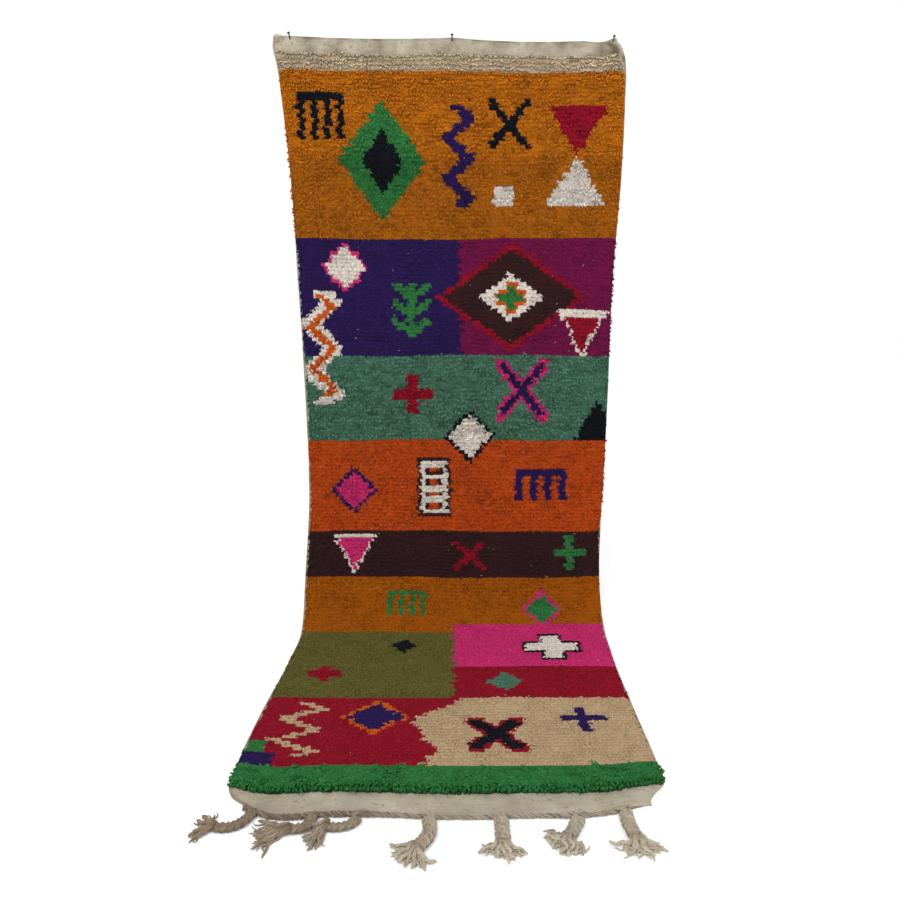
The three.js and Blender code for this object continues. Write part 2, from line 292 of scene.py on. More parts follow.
# The plaited hem, the braids and their tufts
CORD_RADIUS = 8.4 * MM
CORD_RELIEF = 1.3 * MM
CORD_ROOM = CORD_RADIUS + CORD_RELIEF
CORD_TWIST_RADIUS = 8.7 * MM
CLEARANCE = 0.35 * MM
CORD_PITCH = 40 * MM
CORD_END = 0.975
HEM_STITCHES = 150
YARN_RADIUS = 1.9 * MM
PLAIT_PITCH = 40 * MM
PLAIT_SPIN = 70 * MM

# How far a strand's middle lies from the cord's, and a yarn's from its strand's
CORD_STRAND_OFF = 4.3 * MM
CORD_YARN_OFF = 2.5 * MM

# How far a strand of a braid swings aside and up, and how far its yarns stand off to the side and up
STRAND_SWING, STRAND_LIFT = 6.9 * MM, 2.4 * MM
STRAND_HALF_WIDTH, STRAND_HALF_HEIGHT = 6.6 * MM, 4.6 * MM
BRAID_HALF_WIDTH = 15.5 * MM
BRAID_HALF_HEIGHT = 10.5 * MM

# Braids by their place along the hem: their headings there and at their end, in degrees to the left, the
# share of the length over which they turn, their length and thickness. Then their tufts: heading, how far
# they fan out, how far they reach and how curly they are. The last is how greyed a braid and its tuft are.
Braid = namedtuple("Braid", "x first last turn length thick tuft spread reach curly worn")
BRAIDS = [
    Braid(-425, 20, 104, 1, 94, 0.82, 94, 48, 50, 0.6, 1.0),
    Braid(-301, -6, 84, 0.8, 68, 0.86, 74, 18, 84, 0.9, 0.9),
    Braid(-198, 44, 94, 0.9, 74, 0.76, 34, 20, 64, 0.8, 0.8),
    Braid(-51, -12, 42, 1, 94, 1.06, 28, 52, 48, 0.5, 0.25),
    Braid(100, -5, 6, 1, 78, 1.06, 6, 72, 42, 0.8, 0.15),
    Braid(266, 26, 36, 1, 66, 1.0, 38, 72, 42, 1.8, 0.1),
    Braid(366, 6, -14, 1, 82, 1.04, -8, 66, 50, 0.8, 0.1),
]

# The loose yarns of a tuft. Length and spread are shares of the braid's own.
Tuft = namedtuple("Tuft", "count length radius spread wiggle plies")
TUFTS = [
    Tuft(7, 1.0, 2.3, 1.1, 4.0, 3),
    Tuft(19, 0.9, 2.0, 1.1, 7.0, 1),
    Tuft(12, 0.6, 2.4, 0.7, 5.0, 1),
]

# Camera, as fitted to the photograph
CAMERA_PLACE = (-0.006, -2.43, 1.106 - NAIL_HEIGHT)
CAMERA_DOWN = math.radians(12.4)
CAMERA_LENS = 29.6
CAMERA_SENSOR = 36.0
CLOTH_MIDDLE = (0, -0.2, -0.9)
FLOOR_SIZE = 28.0

SEED = 7
RIGHT = np.array([1.0, 0.0, 0.0])
UP = np.array([0.0, 0.0, 1.0])
OFF_AXIS = (0.3, 0.5, 0.8)
TURN = 2 * np.pi


def unit(vectors):
    return vectors / np.maximum(np.linalg.norm(vectors, axis=-1, keepdims=True), 1e-12)


def smooth_step(values, low, high):
    t = np.clip((values - low) / (high - low), 0, 1)
    return t * t * (3 - 2 * t)


def plateau(values, rise, fall):
    """Rises from 0 to 1 over one range of the values and falls back over a later one."""
    return smooth_step(values, *rise) * (1 - smooth_step(values, *fall))


def hump(values, middle, width):
    """A soft hump, 1 high at its middle."""
    return np.exp(-(((values - middle) / width) ** 2))


def smooth_through(keys, values, at):
    """A curve through a table whose slope at each row is the mean of the slopes on its two sides."""
    steps = np.diff(keys)
    secants = np.diff(values) / steps
    slopes = np.zeros(len(keys))
    slopes[1:-1] = (secants[:-1] + secants[1:]) / 2
    i = np.clip(np.searchsorted(keys, at, side="right") - 1, 0, len(keys) - 2)
    t = np.clip((at - keys[i]) / steps[i], 0, 1)
    rise = (2 * t**3 - 3 * t**2 + 1) * values[i] + (3 * t**2 - 2 * t**3) * values[i + 1]
    return rise + steps[i] * (t * (1 - t) ** 2 * slopes[i] - t**2 * (1 - t) * slopes[i + 1])


def column(rows, name, scale=1.0):
    return np.array([getattr(row, name) * scale for row in rows])


def along_table(rows, name, along):
    """A column of a table in millimetres as a smooth curve along the cloth, in metres."""
    return smooth_through(column(rows, "along", MM), column(rows, name, MM), along)


def hang_line():
    """The back of the cloth from the side: length along it, y, z, and the direction down the cloth."""
    bend = -(NAIL_HEIGHT - SWEEP_RISE)
    turn = np.linspace(0, math.pi / 2, 400)
    y = np.concatenate([[0], SWEEP_REACH * (np.cos(turn) - 1)])
    z = np.concatenate([[EDGE_ABOVE_NAIL], bend - SWEEP_RISE * np.sin(turn)])
    along = np.concatenate([[0], np.cumsum(np.hypot(np.diff(y), np.diff(z)))])
    rest = SHEET_LENGTH - along[-1]
    y, z = np.append(y, y[-1] - rest), np.append(z, z[-1])
    along = np.append(along, SHEET_LENGTH)
    slope_y = np.concatenate([[0], -SWEEP_REACH * np.sin(turn), [-1]])
    slope_z = np.concatenate([[-1], -SWEEP_RISE * np.cos(turn), [0]])
    size = np.hypot(slope_y, slope_z)
    return along, y, z, slope_y / size, slope_z / size


HANG = hang_line()


def side_x(along, name):
    return along_table(SIDES, name, along)


def across_to_x(across, along):
    left, right = side_x(along, "left"), side_x(along, "right")
    return left + (right - left) * across


def top_sag(x):
    """How far the top edge hangs below its height at the middle nail. The right nail pulls up a peak."""
    drop = np.interp(x, column(NAILS, "x", MM), column(NAILS, "below", MM))
    for nail, following in zip(NAILS, NAILS[1:]):
        share = (x - nail.x * MM) / ((following.x - nail.x) * MM)
        inside = (share > 0) & (share < 1)
        drop = drop + np.where(inside, 4 * nail.sag * MM * share * (1 - share), 0)
    dip, peak = DIP_BESIDE_PEAK, PEAK_AT_NAIL
    pull = dip.high * hump(x / MM, dip.x, dip.width) - peak.high * hump(x / MM, peak.x, peak.width)
    return drop + pull * MM


def cloth(across, along, depth):
    """Points of the cloth, and at each the direction down the cloth and out of its face."""
    across, along, depth = np.broadcast_arrays(across, along, depth)
    x = across_to_x(across, along)
    short = smooth_through(column(HEM, "across"), column(HEM, "short", MM), across)
    eased = along - short * smooth_step(along, CLOTH_LENGTH - HEM_EASE, CLOTH_LENGTH)
    base_y, base_z, down_y, down_z = (np.interp(eased, HANG[0], part) for part in HANG[1:])
    size = np.hypot(down_y, down_z)
    down_y, down_z = down_y / size, down_z / size
    drop = top_sag(x) * np.maximum(0, 1 - along / TOP_SAG_FADE) ** 2
    points = np.stack([x, base_y + down_z * depth, base_z - down_y * depth - drop], -1)
    down = np.stack([np.zeros_like(x), down_y, down_z], -1)
    face = np.stack([np.zeros_like(x), down_z, -down_y], -1)
    return points, down, face


def lumps(x, along):
    """Soft unevenness, from -1 to 1, the same at every run."""
    broad = np.sin(x / 0.037 + 1.7 * np.sin(along / 0.061))
    return 0.5 * broad + 0.5 * np.sin(along / 0.043 + 1.3 * np.sin(x / 0.053 + 0.8))


def row_sway(x, along):
    """How far a row of knots is beaten up or down out of its line. The first and last rows lie straight."""
    sway = 2.4 * np.sin(7.1 * x + 4 * along) + 1.3 * np.sin(21 * x + 11 * along + 1)
    return plateau(along, (0.04, 0.2), (2.55, 2.69)) * MM * sway


# Meshes


def add_object(name, data):
    thing = bpy.data.objects.new(name, data)
    bpy.context.scene.collection.objects.link(thing)
    return thing


def make_mesh(name, points, faces, slots, materials, uv_maps=None, values=None):
    """One object from points and lists of faces, one list for each number of corners."""
    mesh = bpy.data.meshes.new(name)
    corners = np.concatenate([f.ravel() for f in faces]).astype(np.int32)
    counts = np.concatenate([np.full(len(f), f.shape[1]) for f in faces])
    starts = np.concatenate([[0], np.cumsum(counts)[:-1]]).astype(np.int32)
    mesh.vertices.add(len(points))
    mesh.vertices.foreach_set("co", points.astype(np.float32).ravel())
    mesh.loops.add(len(corners))
    mesh.loops.foreach_set("vertex_index", corners)
    mesh.polygons.add(len(counts))
    mesh.polygons.foreach_set("loop_start", starts)
    mesh.polygons.foreach_set("material_index", np.concatenate(slots).astype(np.int32))
    mesh.polygons.foreach_set("use_smooth", np.ones(len(counts), bool))
    for map_name, places in (uv_maps or {}).items():
        layer = mesh.uv_layers.new(name=map_name, do_init=False)
        layer.uv.foreach_set("vector", np.concatenate(places).astype(np.float32).ravel())
    for value_name, numbers in (values or {}).items():
        made = mesh.attributes.new(value_name, "FLOAT", "POINT")
        made.data.foreach_set("value", numbers.astype(np.float32))
    mesh.update(calc_edges=True)
    for material in materials:
        mesh.materials.append(material)
    return add_object(name, mesh)


def tubes(paths, radii, sides, sideways=(0, 0, 1), squash=1.0):
    """Closed tubes along many paths at once: paths (n, k, 3) and radii (n, k).
    Returns the points, the four-cornered sides and the end caps, each tube's together."""
    n, k, _ = paths.shape
    ahead = unit(np.gradient(paths, axis=1))
    right = unit(np.cross(ahead, sideways))
    up = np.cross(right, ahead)
    angle = TURN * np.arange(sides) / sides
    ring = right[:, :, None] * np.cos(angle)[:, None] + up[:, :, None] * np.sin(angle)[:, None] * squash
    points = paths[:, :, None] + radii[:, :, None, None] * ring
    index = np.arange(n * k * sides).reshape(n, k, sides)
    following = np.roll(index, -1, axis=2)
    corners = [index[:, :-1], index[:, 1:], following[:, 1:], following[:, :-1]]
    caps = np.concatenate([index[:, 0], index[:, -1, ::-1]])
    return points.reshape(-1, 3), np.stack(corners, -1).reshape(-1, 4), caps


def make_yarns(name, tube_sets, tone, reach, worn):
    """One object of undyed yarn from sets of tubes. Its three values are numbers, or one for each point."""
    points, faces, start = [], {}, 0
    for set_points, walls, caps in tube_sets:
        points.append(set_points)
        for block in (walls, caps):
            faces.setdefault(block.shape[1], []).append(block + start)
        start += len(set_points)
    faces = [np.concatenate(blocks) for blocks in faces.values()]
    values = {"tone": tone, "reach": reach, "worn": worn}
    values = {key: np.broadcast_to(value, start) for key, value in values.items()}
    slots = [np.zeros(len(f)) for f in faces]
    return make_mesh(name, np.concatenate(points), faces, slots, [WARP], values=values)


# Materials


def linear(colour):
    """An 8-bit display colour as the numbers that a shader takes."""
    share = np.asarray(colour, float) / 255
    low, high = share / 12.92, ((share + 0.055) / 1.055) ** 2.4
    return (*np.where(share <= 0.04045, low, high), 1.0)


def darker(colour, share):
    """A display colour as a shader takes it, with only a share of its light."""
    return (*(part * share for part in linear(colour)[:3]), 1.0)


class Nodes:
    """A material's node tree, with short ways to add and link nodes."""

    def __init__(self, name, roughness, sheen=0.0, metallic=0.0):
        self.material = bpy.data.materials.new(name)
        self.material.use_nodes = True
        self.tree = self.material.node_tree
        self.shader = self.tree.nodes["Principled BSDF"]
        settings = {
            "Roughness": roughness,
            "Metallic": metallic,
            "Sheen Weight": sheen,
            "Sheen Roughness": 0.45,
            "Specular IOR Level": 0.08,
        }
        for socket, value in settings.items():
            self.shader.inputs[socket].default_value = value

    def add(self, kind, links=None, **settings):
        node = self.tree.nodes.new(kind)
        for name, value in settings.items():
            setattr(node, name, value)
        for key, value in (links or {}).items():
            if isinstance(value, bpy.types.NodeSocket):
                self.tree.links.new(value, node.inputs[key])
            else:
                node.inputs[key].default_value = value
        return node

    def value(self, name):
        return self.add("ShaderNodeAttribute", attribute_name=name).outputs["Fac"]

    def maths(self, operation, *values):
        return self.add("ShaderNodeMath", dict(enumerate(values)), operation=operation).outputs[0]

    def times(self, first, *others):
        for other in others:
            first = self.maths("MULTIPLY", first, other)
        return first

    def wave(self, value, pitch, shift=0.0):
        return self.maths("SINE", self.maths("MULTIPLY_ADD", value, TURN / pitch, shift))

    def spread(self, value, low, high, start=0.0, stop=1.0):
        """Turns the range from start to stop into low to high."""
        links = {"Value": value, "From Min": start, "From Max": stop, "To Min": low, "To Max": high}
        return self.add("ShaderNodeMapRange", links).outputs[0]

    def mix(self, share, first, second):
        return self.add("ShaderNodeMix", {0: share, 6: first, 7: second}, data_type="RGBA").outputs[2]

    def noise(self, scale, detail=2.0, vector=None, rough=0.5):
        if vector is None:
            vector = self.add("ShaderNodeTexCoord").outputs["Object"]
        links = {"Scale": scale, "Detail": detail, "Roughness": rough, "Vector": vector}
        return self.add("ShaderNodeTexNoise", links).outputs["Fac"]

    def toned(self, colour, light, saturation=1.0, hue=0.5):
        links = {"Hue": hue, "Saturation": saturation, "Value": light, "Color": colour}
        return self.add("ShaderNodeHueSaturation", links).outputs[0]

    def cloth_map(self):
        """Metres across and along the cloth, from the sheet's own map: as one place and as two numbers."""
        place = self.add("ShaderNodeUVMap", uv_map="Cloth").outputs[0]
        parts = self.add("ShaderNodeSeparateXYZ", {0: place})
        return place, parts.outputs[0], parts.outputs[1]

    def finish(self, colour, height, strength, distance):
        links = {"Height": height, "Strength": strength, "Distance": distance}
        relief = self.add("ShaderNodeBump", links).outputs[0]
        self.tree.links.new(colour, self.shader.inputs["Base Color"])
        self.tree.links.new(relief, self.shader.inputs["Normal"])
        return self.material


def pile_wool(name, colour):
    """Dyed pile yarn, darkened towards the knot by painted shade, its dye uneven from lock to lock and over
    the cloth.
    """
    nodes = Nodes("pile_" + name, 0.95, sheen=0.02)
    # Painted shade: by the reach value, the wool darkens to 45% of its light at the locks' roots and in the
    # gaps between them.
    shade = nodes.mix(nodes.value("reach"), darker(colour, 0.45), linear(colour))
    dye = nodes.spread(nodes.noise(7.0, 3.0), 0.9, 1.1)
    fleck = nodes.spread(nodes.noise(420.0), 0.8, 1.2)
    tone = nodes.spread(nodes.value("tone"), *PILE_TONES)
    hue = nodes.spread(nodes.noise(150.0, 1.0), 0.492, 0.508)
    wool = nodes.toned(shade, nodes.times(dye, fleck, tone), hue=hue)
    return nodes.finish(wool, nodes.noise(1300.0), 0.5, 0.6 * MM)


def kilim_weave():
    """Plain weave of undyed wool: weft ribs over slack warps, streaked, with a few dark flecks."""
    nodes = Nodes("kilim_weave", 0.93, sheen=0.08)
    place, x, along = nodes.cloth_map()
    stretched = nodes.add("ShaderNodeMapping", {"Vector": place, "Scale": (14.0, 240.0, 1.0)}).outputs[0]
    streak = nodes.noise(1.0, 3.0, stretched)
    stain = nodes.spread(nodes.noise(11.0, 4.0, rough=0.6), 0.0, 2.0, 0.3, 0.72)
    # The worn value holds stains, and also painted shade in the top right corner's crease and a painted
    # highlight on its rim: here it mixes the weave towards the greyed colour.
    worn = nodes.times(nodes.value("worn"), stain)
    base = nodes.mix(worn, linear(WARP_COLOUR), linear(WARP_WORN_AND_SHADE))
    light = nodes.times(nodes.spread(streak, 0.78, 1.26), nodes.spread(nodes.noise(260.0, 1.0), 0.9, 1.1))
    dark = nodes.maths("GREATER_THAN", nodes.noise(150.0, 0.0), 0.79)
    flecked = nodes.mix(nodes.times(dark, 0.4), nodes.toned(base, light, 0.9), linear(FLECK_COLOUR))
    woven = nodes.times(nodes.wave(along, WEFT_PITCH), nodes.wave(x, WARP_PITCH), 0.3)
    height = nodes.maths("ADD", woven, nodes.times(streak, 1.2))
    return nodes.finish(flecked, height, 0.55, 0.9 * MM)


def knot_backs(name, colour):
    """The back of the pile: each knot shows as two small bars, with lines of pale weft between the rows."""
    nodes = Nodes("back_" + name, 0.93, sheen=0.08)
    _, x, along = nodes.cloth_map()
    row = nodes.wave(along, ROW_PITCH, -TURN * PILE_START / ROW_PITCH - math.pi / 2)
    bar = nodes.wave(x, ROW_PITCH / 2)
    knots = nodes.spread(row, 0.0, 1.0, -0.55, -0.25)
    wool = nodes.spread(nodes.noise(300.0), 0.8, 1.16)
    dye = nodes.spread(nodes.noise(7.0), 0.88, 1.08)
    base = nodes.mix(knots, linear(WARP_WORN_AND_SHADE), darker(colour, 0.82))
    light = nodes.times(wool, dye, nodes.spread(bar, 0.96, 1.04))
    nubs = nodes.times(knots, nodes.spread(bar, 0.75, 1.0))
    height = nodes.maths("ADD", nodes.times(row, 0.5), nubs)
    return nodes.finish(nodes.toned(base, light, 0.96), height, 0.8, 1.6 * MM)


def warp_yarn():
    """Undyed hand-spun yarn of the cord, braids and tufts, greyer where it has lain on the ground, and
    darkened by painted shade where its reach value is low.
    """
    nodes = Nodes("warp_yarn", 0.9, sheen=0.1)
    base = nodes.mix(nodes.value("worn"), linear(YARN_CLEAN), linear(YARN_GREYED))
    root_shaded = nodes.mix(nodes.value("reach"), linear(YARN_ROOT_SHADE), base)
    tone = nodes.spread(nodes.value("tone"), 0.78, 1.2)
    light = nodes.times(tone, nodes.spread(nodes.noise(500.0), 0.86, 1.12))
    return nodes.finish(nodes.toned(root_shaded, light, 0.95), nodes.noise(1500.0), 0.5, 0.5 * MM)


def dark_steel():
    """Plain darkened nails with a little rust."""
    nodes = Nodes("dark_steel", 0.5, metallic=0.75)
    rust = nodes.spread(nodes.noise(700.0, 4.0), 0.0, 1.0, 0.52, 0.66)
    colour = nodes.mix(rust, linear(STEEL_COLOUR), linear(RUST_COLOUR))
    return nodes.finish(colour, nodes.noise(900.0, 3.0), 0.3, 0.2 * MM)


PILE_MATERIALS = [pile_wool(name, colour) for name, colour in YARNS.items()]
BACK_MATERIALS = [knot_backs(name, colour) for name, colour in YARNS.items()]
KILIM = kilim_weave()
WARP = warp_yarn()


# The pattern


def sign_shape(kind, u, v, stroke_u, stroke_v):
    """Whether places lie inside a sign. u runs from -1 to 1 over its width and v over its length."""
    wide, long = np.abs(u), np.abs(v)
    inside = (wide <= 1) & (long <= 1)
    if kind == "lozenge":
        return wide + long <= 1
    if kind == "triangle":
        return inside & (wide <= (1 - v) / 2)
    if kind == "pyramid":
        return inside & (wide <= (1 + v) / 2)
    if kind == "cross":
        return inside & ((wide <= stroke_u) | (long <= stroke_v))
    if kind == "saltire":
        return inside & (np.abs(wide - long) <= (stroke_u + stroke_v) / 2)
    if kind == "zigzag":
        swing = 2 * np.abs(2 * ((v * ZIGZAG_TURNS / 2) % 1) - 1) - 1
        return inside & (np.abs(u - swing * (1 - stroke_u)) <= stroke_u)
    if kind == "comb":
        teeth = ((u + 1) / 2 * (COMB_TEETH - 0.5)) % 1 < 0.5
        return inside & ((v < -1 + 2 * stroke_v) | teeth)
    if kind == "ladder":
        rungs = ((v + 1) / 2 * (LADDER_RUNGS - 0.5)) % 1 < 0.5
        return inside & ((wide >= 1 - 2 * stroke_u) | rungs)
    if kind == "star":
        return inside & ((wide + long <= 1) | (np.maximum(wide, long) <= STAR_BODY))
    if kind == "fishbone":
        fall = (v + 0.5 * wide) / 2 * FISHBONES
        return inside & ((wide <= stroke_u) | ((fall % 1 < 0.5) & (fall < FISHBONES / 2)))
    return inside


def draw_sign(yarns, sign, x, along, ragged):
    slant = 1.5 if sign.kind == "lozenge" else 1
    for yarn, wider in ((sign.rim, sign.rim_wide), (sign.yarn, 0)):
        if yarn is None:
            continue
        wider_across = wider * slant * MM
        wider_along = max(wider_across, ROW_PITCH * slant) if wider else 0
        half_x = sign.width / 2 * MM + wider_across
        half_along = sign.length / 2 * MM + wider_along
        u = (x + ragged - sign.x * MM) / half_x
        v = (along - sign.along * MM) / half_along
        stroke_u = (sign.stroke / 2 * MM + wider_across) / half_x
        stroke_v = (sign.stroke / 2 * MM + wider_along) / half_along
        yarns[sign_shape(sign.kind, u, v, stroke_u, stroke_v)] = YARN_NAMES.index(yarn)


def pattern(across, along):
    """The yarn of each knot, by its place. Each row of knots starts and stops a colour a little off."""
    x = across_to_x(across, along)
    row = np.floor((along - PILE_START) / ROW_PITCH)
    ragged = 2 * MM * (np.sin(row * 2.3) + np.sin(row * 1.1 + 0.7)) + 2 * MM * (-1) ** row
    yarns = np.zeros(x.shape, int)
    for band in BANDS:
        here = (along >= band.start * MM) & (along < band.end * MM)
        if band.left is not None:
            yarns[here] = YARN_NAMES.index(band.left)
        if band.right is not None:
            split = np.interp(along / MM, *zip(*band.split)) * MM
            yarns[here & (x + 2 * ragged >= split)] = YARN_NAMES.index(band.right)
    for sign in SIGNS:
        draw_sign(yarns, sign, x, along, ragged)
    return yarns


# The rug


def knot_grid():
    """Edges between the rows and between the columns of knots."""
    rows = PILE_START + ROW_PITCH * np.arange(KNOT_ROWS + 1)
    columns = np.linspace(PILE_MARGIN, 1 - PILE_MARGIN, KNOT_COLUMNS + 1)
    return rows, columns


def rolled_corner(x, along):
    """The right top corner is drawn down by its nail: a soft rolled rim, with a crease inside it."""
    edge = side_x(along, "right") - x
    rim = 1 - smooth_step(edge, 10 * MM, 16 * MM)
    crease = hump(edge, 20 * MM, 6 * MM)
    return plateau(along, (0.004, 0.02), (0.045, 0.1)) * MM * (15 * rim - 2.4 * crease)


def pile_settings(along):
    """The settings of the pile at places along the cloth: a row of the table made of arrays."""
    starts = column(PILE, "start", MM)
    i = np.clip(np.searchsorted(starts, along, side="right") - 1, 0, len(PILE) - 1)
    return Pile(*(column(PILE, name, MM if name in PILE_LENGTHS else 1.0)[i] for name in Pile._fields))


def edge_cover(along, name):
    """How far the locks reach past one side of the cloth."""
    return along_table(COVERS, name, along)


def covered(across, along):
    """Where the pile hides the edge warps of the nearer side, from 0 to 1."""
    cover = np.where(across < 0.5, edge_cover(along, "left"), edge_cover(along, "right"))
    return smooth_step(cover, -3 * MM, 0)


def painted_gap_shade(rough):
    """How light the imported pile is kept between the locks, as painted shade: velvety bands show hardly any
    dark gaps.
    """
    return np.maximum(0.9 - 0.58 * rough, 0.25)


def shade_tone(shade):
    """The tone, on the scale of the pile's material, that makes the wool lighter by a factor."""
    return 0.5 + (shade - 1) / (PILE_TONES[1] - PILE_TONES[0])


def bed_height(across, along):
    """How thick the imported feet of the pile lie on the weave: nothing at the ends and selvedges."""
    pile = pile_settings(along)
    rise = (PILE_START, PILE_START + ROW_PITCH)
    fall = (PILE_END - 2.1 * ROW_PITCH, PILE_END - 0.9 * ROW_PITCH)
    inner = 0.4 * PILE_MARGIN * (1 - 1.4 * covered(across, along))
    sides = smooth_step((0.5 - np.abs(across - 0.5) - inner) / PILE_MARGIN, 0, 1.4)
    return pile.height * pile.bed * plateau(along, rise, fall) * sides


def weave_depth(across, along, weft):
    """How far the front of the weave stands off its back. Bare weave has ribs, and a roll at the top."""
    x = across_to_x(across, along)
    depth = WEAVE_THICK + 0.5 * MM * lumps(x * 2.1, along * 2.1)
    relief = WEFT_RELIEF * (-1.0) ** weft + 1.6 * MM * hump(along, 0, 4 * MM)
    bare = (along < PILE_START) | (along > PILE_END)
    return depth + np.where(bare, relief, 0) + bed_height(across, along) + rolled_corner(x, along)


def wear_and_painted_shade(x, along):
    """How greyed the bare weave is, most at the top edge and at the left foot, with painted shade in the top
    right corner's crease and a painted highlight on its rolled rim.
    """
    # The upper weave is greyer than the lower, and greyer still towards its sides.
    worn = np.where(along < 0.2, 0.43 + 0.1 * smooth_step(np.abs(x), 0.1, 0.5), 0.3)
    left_foot = (1 - smooth_step(x - side_x(along, "left"), 2 * MM, 26 * MM)) * (along > 2.6)
    edge = side_x(along, "right") - x
    # Painted shade along the crease inside the top right corner's rolled rim.
    crease = hump(edge, 24 * MM - 0.25 * (along - 0.01), 4.5 * MM)
    crease = crease * plateau(along, (0.002, 0.012), (0.02, 0.042))
    # Painted highlight: the rolled rim of the top right corner is made lighter than the weave around it.
    rim = (1 - smooth_step(edge, 11 * MM, 14 * MM)) * (along < 0.05)
    top = hump(along, 0, 3 * MM) * (0.5 + 0.5 * np.sin(37 * x) * np.sin(113 * x))
    return np.maximum(worn + 0.5 * left_foot + 1.6 * crease - 0.3 * rim + 0.7 * top, 0)


def closed_sheet(front, back):
    """Points and faces of a sheet from the grids of its two sides: all of the front's faces, as many of
    the back's, then those of its edges."""
    count = front.shape[0] * front.shape[1]
    index = np.arange(count).reshape(front.shape[:2])
    quads = np.stack([index[:-1, :-1], index[1:, :-1], index[1:, 1:], index[:-1, 1:]], -1).reshape(-1, 4)
    ring = np.concatenate([index[0, :-1], index[:-1, -1], index[-1, :0:-1], index[:0:-1, 0]])
    after = np.roll(ring, -1)
    edges = np.stack([ring, after, after + count, ring + count], -1)
    points = np.concatenate([front.reshape(-1, 3), back.reshape(-1, 3)])
    return points, np.concatenate([quads, quads[:, ::-1] + count, edges])


def build_weave():
    """The sheet itself. Where there is pile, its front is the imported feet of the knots."""
    knot_rows, knot_columns = knot_grid()
    top = np.arange(0, knot_rows[0], WEFT_PITCH)
    low = np.arange(knot_rows[-1], SHEET_LENGTH + WEFT_PITCH / 2, WEFT_PITCH)
    low[-1] = SHEET_LENGTH
    rows = np.concatenate([top, knot_rows, low[1:]])
    edge = np.array([0, 0.35, 0.7]) * PILE_MARGIN
    columns = np.concatenate([edge, knot_columns, 1 - edge[::-1]])
    across, along = np.meshgrid(columns, rows)
    x = across_to_x(across, along)
    swayed = along + row_sway(x, along)
    front, _, _ = cloth(across, swayed, weave_depth(across, along, np.arange(len(rows))[:, None]))
    back, _, _ = cloth(across, swayed, 0.0)
    points, faces = closed_sheet(front, back)

    middle_across = (across[:-1, :-1] + across[1:, 1:]).ravel() / 2
    middle_along = (along[:-1, :-1] + along[1:, 1:]).ravel() / 2
    bare = (middle_along < knot_rows[0]) | (middle_along > knot_rows[-2])
    at_side = np.abs(middle_across - 0.5) > 0.5 - PILE_MARGIN
    seen_side = at_side & (covered(middle_across, middle_along) < 0.5)
    yarn = pattern(middle_across, middle_along)
    kilim = 2 * len(YARNS)
    slots = [
        np.where(bare | seen_side, kilim, yarn),
        np.where(bare | at_side, kilim, yarn + len(YARNS)),
        np.full(len(faces) - 2 * len(yarn), kilim),
    ]
    flat_map = np.tile(np.stack([x.ravel(), along.ravel()], -1), (2, 1))[faces]
    pile = pile_settings(along)
    # Painted shade on the imported pile between the locks: a lower tone and a darker reach.
    tone = shade_tone(pile.shade) - 0.08
    values = {"tone": tone, "reach": painted_gap_shade(pile.rough), "worn": wear_and_painted_shade(x, along)}
    values = {name: np.tile(value.ravel(), 2) for name, value in values.items()}
    materials = PILE_MATERIALS + BACK_MATERIALS + [KILIM]
    return make_mesh("weave", points, [faces], slots, materials, {"Cloth": [flat_map]}, values)


def spread_to_edges(across, along):
    """Moves the outermost locks towards the sides, more so where they cover the edge warps."""
    width = side_x(along, "right") - side_x(along, "left")
    moved = across
    for name, way, inset in (("left", -1, across), ("right", 1, 1 - across)):
        near = 1 - smooth_step(inset * width, 8 * MM, 45 * MM)
        shift = 4.8 * MM + 0.5 * edge_cover(along, name)
        moved = moved + way * shift * near / width
    return np.clip(moved, 0.0025, 0.9975)


def locks(root, middle, tip, radius):
    """Pointed locks of yarn, three-sided: points, four-cornered sides and three-cornered ends."""
    count = len(root)
    ahead = unit(np.stack([middle - root, tip - root], 1))
    right = unit(np.cross(ahead, RIGHT))
    up = np.cross(right, ahead)
    angle = TURN * np.arange(3) / 3
    ring = right[:, :, None] * np.cos(angle)[:, None] + up[:, :, None] * np.sin(angle)[:, None]
    rings = np.stack([root, middle], 1)[:, :, None] + radius[:, None, None, None] * ring
    points = np.concatenate([rings.reshape(count, 6, 3), tip[:, None]], 1)
    start = LOCK_POINTS * np.arange(count)[:, None, None]
    sides = start + np.array([(j, 3 + j, 3 + (j + 1) % 3, (j + 1) % 3) for j in range(3)])
    ends = start + np.array([(3 + j, 6, 3 + (j + 1) % 3) for j in range(3)] + [(0, 1, 2)])
    return points.reshape(-1, 3), sides.reshape(-1, 4), ends.reshape(-1, 3)


def lock_cells(rows, wide):
    """Each lock's own small patch of the pile's map, laid out like the pile itself."""
    cell = np.stack(np.meshgrid(np.arange(wide) / wide, np.arange(rows) / rows), -1).reshape(-1, 1, 1, 2)
    size = np.array([1 / wide, 1 / rows])
    sides = [[(j / 3, 0), (j / 3, 0.45), ((j + 1) / 3, 0.45), ((j + 1) / 3, 0)] for j in range(3)]
    ends = [[(j / 3, 0.45), ((j + 0.5) / 3, 0.85), ((j + 1) / 3, 0.45)] for j in range(3)]
    ends.append([(0, 0.86), (1, 0.86), (0.5, 1)])
    return [(cell + np.array(part) * size).reshape(-1, 2) for part in (sides, ends)]


def matted(rng, wide, chance):
    """The clumps that the locks of each row fall into: for each lock its clump's number and settings."""
    starts = rng.random(len(chance)) < chance
    starts[::wide] = True
    number = np.cumsum(starts) - 1
    count = number[-1] + 1
    lift, stray, shift, tone = (rng.normal(size=count)[number] for _ in range(4))
    return Clump(number, 1 + 0.1 * lift, stray, shift, tone, rng.random(count)[number])


def row_streaks(rng, rows, wide):
    """Long soft light and dark streaks along each row, where a skein of yarn ran out or was spun apart."""
    stops = 30
    drift = 0.07 * rng.normal(size=(rows, stops)) + 0.03 * rng.normal(size=(rows, 1))
    places = np.linspace(0, stops - 1, wide)
    return np.concatenate([np.interp(places, np.arange(stops), line) for line in drift])


